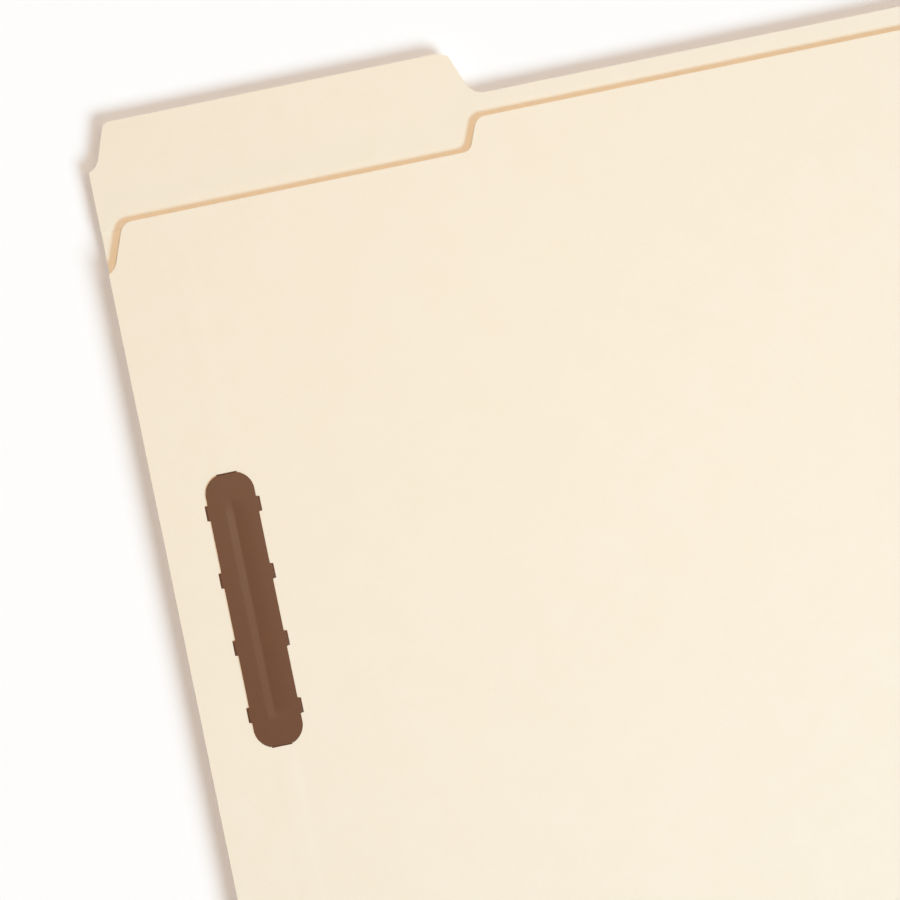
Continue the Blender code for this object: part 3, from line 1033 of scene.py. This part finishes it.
    def draw_prong(self, end: int) -> None:
        """Draw a prong from the plate's end through board and bar and out along the board.

        Args:
            end: 1 at the upper end and -1 at the lower.
        """
        pick(
            Element.FACE,
            lambda middle, normal: abs(middle.x) < self.prong_half_width
            and abs(middle.y * end - self.prong_tangent) < CUT_THRESHOLD,
        )
        outward = end * ALONG_Y
        inner = Vector((0, end * self.prong_tangent, self.plate_level + self.bend))
        turn(end * QUARTER, inner, ALONG_X, self.bend_steps)
        draw_out((self.over_bar_level - self.plate_level - 2 * self.bend) * ALONG_Z)
        outer = Vector((0, end * (self.prong_bend + self.bend), self.over_bar_level - self.bend))
        turn(-end * QUARTER, outer, ALONG_X, self.bend_steps)
        slope_start = self.bar_half_length + self.hole_gap
        draw_out((slope_start - self.prong_bend - self.bend) * outward)
        drop = self.clinch_level - self.over_bar_level
        for step in range(self.bend_steps):
            fall = smoothstep((step + 1) / self.bend_steps) - smoothstep(step / self.bend_steps)
            draw_out(self.prong_slope / self.bend_steps * outward + drop * fall * ALONG_Z)
        draw_out((self.reach - self.prong_tip - slope_start - self.prong_slope) * outward)
        width = 1.0
        for step in range(1, self.tip_steps + 1):
            following = math.cos(step / self.tip_steps * self.prong_tip_turn)
            draw_out(self.prong_tip / self.tip_steps * outward)
            narrow(Vector((following / width, 1, 1)), Vector())
            width = following

    def draw_barb(self, side: int, middle: float) -> None:
        """Draw a barb from the plate's side through the board, clinch it inwards and point it.

        Args:
            side: 1 at the right of the plate and -1 at the left.
            middle: The barb's place along the plate.
        """
        pick(
            Element.FACE,
            lambda place, normal: abs(place.y - middle) < self.barb_half_length / 2
            and abs(place.x * side - self.plate_half_width) < CUT_THRESHOLD,
        )
        outward = side * ALONG_X
        tangent = self.half_over_barbs - self.sheet / 2 - self.bend
        neck = self.barb_half_length - self.barb_shoulder
        centre = middle * ALONG_Y
        draw_out((tangent - self.plate_half_width - self.barb_shoulder) * outward)
        draw_out(self.barb_shoulder * outward)
        narrow(Vector((1, neck / self.barb_half_length, 1)), centre)
        lower = Vector((side * tangent, middle, self.plate_level + self.bend))
        turn(-side * QUARTER, lower, ALONG_Y, self.bend_steps)
        clinch = self.clinch_level - self.bend
        draw_out((clinch - self.plate_level - self.bend) * ALONG_Z)
        upper = Vector((side * tangent, middle, clinch))
        turn(-side * QUARTER, upper, ALONG_Y, self.bend_steps)
        draw_out((self.bend + self.sheet / 2 - self.barb_clinch) * outward)
        narrow(Vector((1, self.barb_tip_half_length / neck, 1)), centre)

    def add_bar(self) -> None:
        """Compressor bar: a strip with raised flanges, rounded ends and a hole for each prong."""
        size = Vector((2 * self.bar_half_base, 2 * self.bar_half_length, 0))
        piece = add_block(f"{self.side.value}_bar", self.bar_level * ALONG_Z, size)
        rise = self.flange_level - self.bar_level
        flange = self.bar_half_width - self.bar_half_base - self.bar_web_run
        with editing(piece):
            for side in (1, -1):
                pick(Element.VERTEX, lambda place, normal: place.x * side > 0)
                bpy.ops.mesh.select_mode(type="EDGE")
                draw_out(Vector((side * self.bar_web_run, 0, rise)))
                draw_out(side * flange * ALONG_X)
            self.round_ends()
            self.punch_holes()
        apply_modifier(piece, "SOLIDIFY", thickness=self.bar_sheet, offset=0.0)
        close_up(piece)
        soften(piece, self.edge_round)
        self.place(piece, self.side.panel, f"{self.side.value}_compressor")

    def round_ends(self) -> None:
        """Trim the four corners of the bar that is in edit mode round."""
        radius = self.bar_corner_radius
        aside = self.bar_half_width - radius
        ahead = self.bar_half_length - radius
        for across in (1, -1):
            for along in (1, -1):
                centre = Vector((across * aside, along * ahead, 0))
                for step in range(1, self.corner_steps):
                    angle = QUARTER * step / self.corner_steps
                    way = Vector((across * math.cos(angle), along * math.sin(angle), 0))
                    cut(centre + way * radius, way, clear=True)

    def punch_holes(self) -> None:
        """Punch the holes that the prongs pass through into the bar that is in edit mode."""
        half = self.prong_half_width + self.hole_gap
        near = self.prong_bend - self.sheet / 2 - self.hole_gap
        far = self.prong_bend + self.bend + self.hole_gap
        for side in (1, -1):
            cut(side * half * ALONG_X, ALONG_X)
            cut(side * near * ALONG_Y, ALONG_Y)
            cut(side * far * ALONG_Y, ALONG_Y)
        pick(
            Element.FACE,
            lambda middle, normal: abs(middle.x) < half and near < abs(middle.y) < far,
        )
        bpy.ops.mesh.delete(type="FACE")

    def add_keeper(self, keeper: Keeper) -> None:
        """Keeper: a clip of the same strip, folded round the bar's flanges.

        Args:
            keeper: Which of the side's two keepers it is.
        """
        node = keeper.node(self.side)
        low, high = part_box(node)
        half_length = (high.y - low.y) / 2
        middle = (low.y + high.y) / 2 - self.middle.y
        half_width = (high.x - low.x) / 2 - self.bar_sheet / 2
        flat = half_width - self.keeper_bend
        centre = Vector((0, middle, self.keeper_level))
        size = Vector((2 * flat, 2 * half_length, 0))
        piece = add_block(node.replace("slide", "keeper"), centre, size)
        fall = self.keeper_level - self.hook_level - 2 * self.keeper_bend
        hook = self.keeper_hook - self.keeper_bend
        with editing(piece):
            for side in (1, -1):
                pick(Element.VERTEX, lambda place, normal: place.x * side > flat / 2)
                bpy.ops.mesh.select_mode(type="EDGE")
                upper = Vector((side * flat, 0, self.keeper_level - self.keeper_bend))
                turn(side * QUARTER, upper, ALONG_Y, self.bend_steps)
                draw_out(-fall * ALONG_Z)
                lower = Vector((side * flat, 0, self.hook_level + self.keeper_bend))
                turn(side * QUARTER, lower, ALONG_Y, self.bend_steps)
                draw_out(-side * hook * ALONG_X)
        close_up(piece)
        apply_modifier(piece, "SOLIDIFY", thickness=self.bar_sheet, offset=0.0)
        soften(piece, self.edge_round)
        self.place(piece, node, node)

    def build(self) -> None:
        """Make the stamping, the bar and the two keepers."""
        self.add_stamping()
        self.add_bar()
        for keeper in Keeper:
            self.add_keeper(keeper)


@dataclass(frozen=True)
class Lamp:
    """A round lamp, described by what a white level face gets from it.

    Attributes:
        name: The lamp's name.
        way: The way to it from the point that it shines on, or for a far lamp its direction.
        share: The red, green and blue of plain light that a level face at that point gets.
        size: A near lamp's diameter in metres, or 0 for a far lamp.
        spread: How wide a far lamp looks, in degrees.
    """

    name: str
    way: Vector
    share: tuple[float, float, float]
    size: float = 0.0
    spread: float = 0.0

    def hang(self, point: Vector, lit: bpy.types.Collection) -> None:
        """Make the lamp.

        Args:
            point: The point that it shines on.
            lit: The collection that says what it lights.
        """
        peak = max(self.share)
        energy = math.pi * peak / self.way.normalized().z
        if self.size:
            light = bpy.data.lights.new(self.name, "AREA")
            light.shape = "DISK"
            light.size = self.size
            light.energy = energy * math.pi * self.way.length_squared
        else:
            light = bpy.data.lights.new(self.name, "SUN")
            light.angle = math.radians(self.spread)
            light.energy = energy
        light.color = tuple(channel / peak for channel in self.share)
        lamp = bpy.data.objects.new(self.name, light)
        lamp.location = point + self.way
        lamp.rotation_euler = self.way.to_track_quat("Z", "Y").to_euler()
        lamp.light_linking.receiver_collection = lit
        bpy.context.scene.collection.objects.link(lamp)


@dataclass
class Studio:
    """White table, lamps and the camera that looks straight down, as the photograph's does.

    The folder has a broad warm lamp overhead, a cool one low at the right and a weak warm one at the
    front. The table has lamps of its own, and a small riser under the middle of the folder lifts it
    off the table, so that the shadow round it is as soft and as wide as in the photograph.
    """

    view_turn: float = math.radians(-11.65)
    view_width: float = 226.9 * MM
    view_middle: tuple[float, float] = (-73.93 * MM, 21.9 * MM)
    lens: float = 150.0
    sensor: float = 36.0
    clip_ratio: float = 100.0
    table_size: float = 8.0
    table_drop: float = 3.0 * MM
    riser_gap: float = 0.02 * MM
    riser_size: tuple[float, float] = (180 * MM, 140 * MM)
    table_colour: str = "#FEFEFE"
    sky: float = 0.15
    sky_colour: str = "#FFF7EE"
    lit_point: tuple[float, float, float] = (-50 * MM, 0, 0)

    def add_camera(self) -> None:
        """Camera over the tab's end of the folder, far off behind a long lens."""
        distance = self.view_width * self.lens / self.sensor
        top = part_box("front_panel")[1].z
        lens = bpy.data.cameras.new("camera")
        lens.lens = self.lens
        lens.sensor_width = self.sensor
        lens.clip_start = distance / self.clip_ratio
        lens.clip_end = distance * self.clip_ratio
        camera = bpy.data.objects.new("camera", lens)
        camera.location = (*self.view_middle, top + distance)
        camera.rotation_euler = (0, 0, self.view_turn)
        bpy.context.scene.collection.objects.link(camera)
        bpy.context.scene.camera = camera

    def add_table(self) -> list[bpy.types.Object]:
        """Plain white table top, and the riser on it that carries the folder.

        Returns:
            The table and the riser.
        """
        table_level = -self.table_drop * ALONG_Z
        table = add_block("table", table_level, Vector((self.table_size, self.table_size, 0)))
        rise = self.table_drop - self.riser_gap
        riser = add_block("riser", table_level + rise / 2 * ALONG_Z, Vector((*self.riser_size, rise)))
        # Matt white card: it scatters all light evenly, so nothing is mirrored in it
        material = new_material("matt_white_card")
        tree = material.node_tree
        shader = add_node(tree, "BsdfDiffuse", {"Color": linear(self.table_colour)})
        add_node(tree, "OutputMaterial", {"Surface": shader.outputs["BSDF"]})
        for stand in (table, riser):
            dress(stand, material)
        return [table, riser]

    def add_sky(self) -> None:
        """Dim even light all round, which the camera and reflections see as white."""
        world = bpy.data.worlds.new("sky")
        bpy.context.scene.world = world
        world.use_nodes = True
        tree = world.node_tree
        tree.nodes.clear()
        rays = add_node(tree, "LightPath").outputs
        seen = rays["Is Camera Ray"]
        for ray in ("Is Glossy Ray", "Is Transmission Ray"):
            larger = add_node(tree, "Math", {0: seen, 1: rays[ray]}, operation="MAXIMUM")
            seen = larger.outputs["Value"]
        strength = add_node(tree, "MapRange", {"Value": seen, "To Min": self.sky})
        colour = add_node(
            tree,
            "Mix",
            {"Factor": seen, MIX_A: linear(self.sky_colour), MIX_B: (1, 1, 1, 1)},
            data_type="RGBA",
        )
        light = add_node(
            tree,
            "Background",
            {"Strength": strength.outputs["Result"], "Color": colour.outputs[MIX_RESULT]},
        )
        add_node(tree, "OutputWorld", {"Surface": light.outputs["Background"]})

    def add_lamps(self, stands: list[bpy.types.Object]) -> None:
        """The folder's three lamps, and the table's own three.

        Args:
            stands: The table and the riser, which the folder's lamps leave out.
        """
        only_table = bpy.data.collections.new("only_table")
        all_but_table = bpy.data.collections.new("all_but_table")
        for stand in stands:
            only_table.objects.link(stand)
            all_but_table.objects.link(stand)
        for member in all_but_table.collection_objects:
            member.light_linking.link_state = "EXCLUDE"
        for_folder = (
            Lamp("warm_overhead", Vector((0.03, 0.10, 0.90)), (0.620, 0.447, 0.287), size=0.2),
            Lamp("cool_key", Vector((0.62, -0.57, 1.10)), (0.193, 0.369, 0.488), size=0.36),
            Lamp("warm_fill", Vector((0.30, -0.75, 0.22)), (0.030, 0.013, 0.001), size=0.3),
        )
        for_table = (
            Lamp("table_overhead", Vector((0, 0, 1)), (0.40, 0.33, 0.28), spread=10),
            Lamp("table_side", Vector((0.5, 0.1, 1)), (0.10, 0.085, 0.07), spread=20),
            Lamp("table_low", Vector((0.75, -0.92, 1)), (0.35, 0.435, 0.50), spread=28),
        )
        for lamps, lit in ((for_folder, all_but_table), (for_table, only_table)):
            for lamp in lamps:
                lamp.hang(Vector(self.lit_point), lit)

    def build(self) -> None:
        """Make the camera, the table and the lights."""
        self.add_camera()
        self.add_sky()
        self.add_lamps(self.add_table())


def main() -> None:
    """Build the folder's looks, piece by piece, and the studio round it."""
    logging.basicConfig(level=logging.INFO, format="%(name)s: %(message)s")
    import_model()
    bpy.context.scene.view_settings.view_transform = "Standard"
    board = ManilaBoard().material()
    enamel = BakedEnamel().material()
    fasteners = [StampedFastener(side, enamel) for side in Side]
    BoardSheet(board, {fastener.side: fastener.slits for fastener in fasteners}).build()
    for fastener in fasteners:
        fastener.build()
    Studio().build()


if __name__ == "__main__":
    main()
